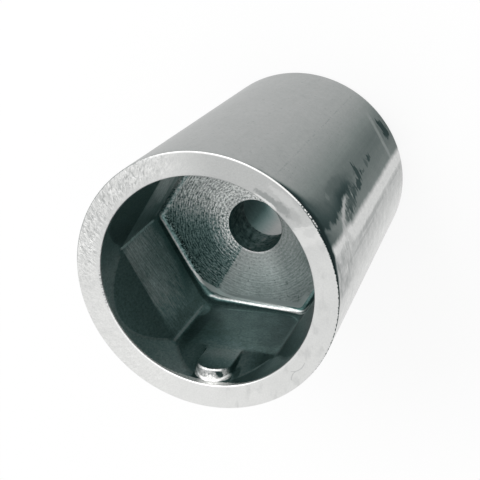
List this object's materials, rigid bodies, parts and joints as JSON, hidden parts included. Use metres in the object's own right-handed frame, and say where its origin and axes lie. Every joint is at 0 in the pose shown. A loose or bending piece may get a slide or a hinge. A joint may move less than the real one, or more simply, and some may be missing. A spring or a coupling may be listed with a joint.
{
  "type": "sacrificial anode",
  "caption": "Tapered zinc casting that caps a propeller shaft: open mouth, leaning lead-in facets, a hexagon socket for the shaft nut with a tongue, and a bolt hole in its floor.",
  "frame": {"origin": "centre of the closed end's face, on the casting's axis", "axes": "+Z along the axis from the closed end to the open mouth, -Y towards the tongue"},
  "size_m": [0.053, 0.053, 0.0634],
  "materials": {
    "zinc": "cast, satin, with a machined rim and socket floor"
  },
  "bodies": {
    "root": {"anode_body": "zinc"}
  },
  "joints": []
}
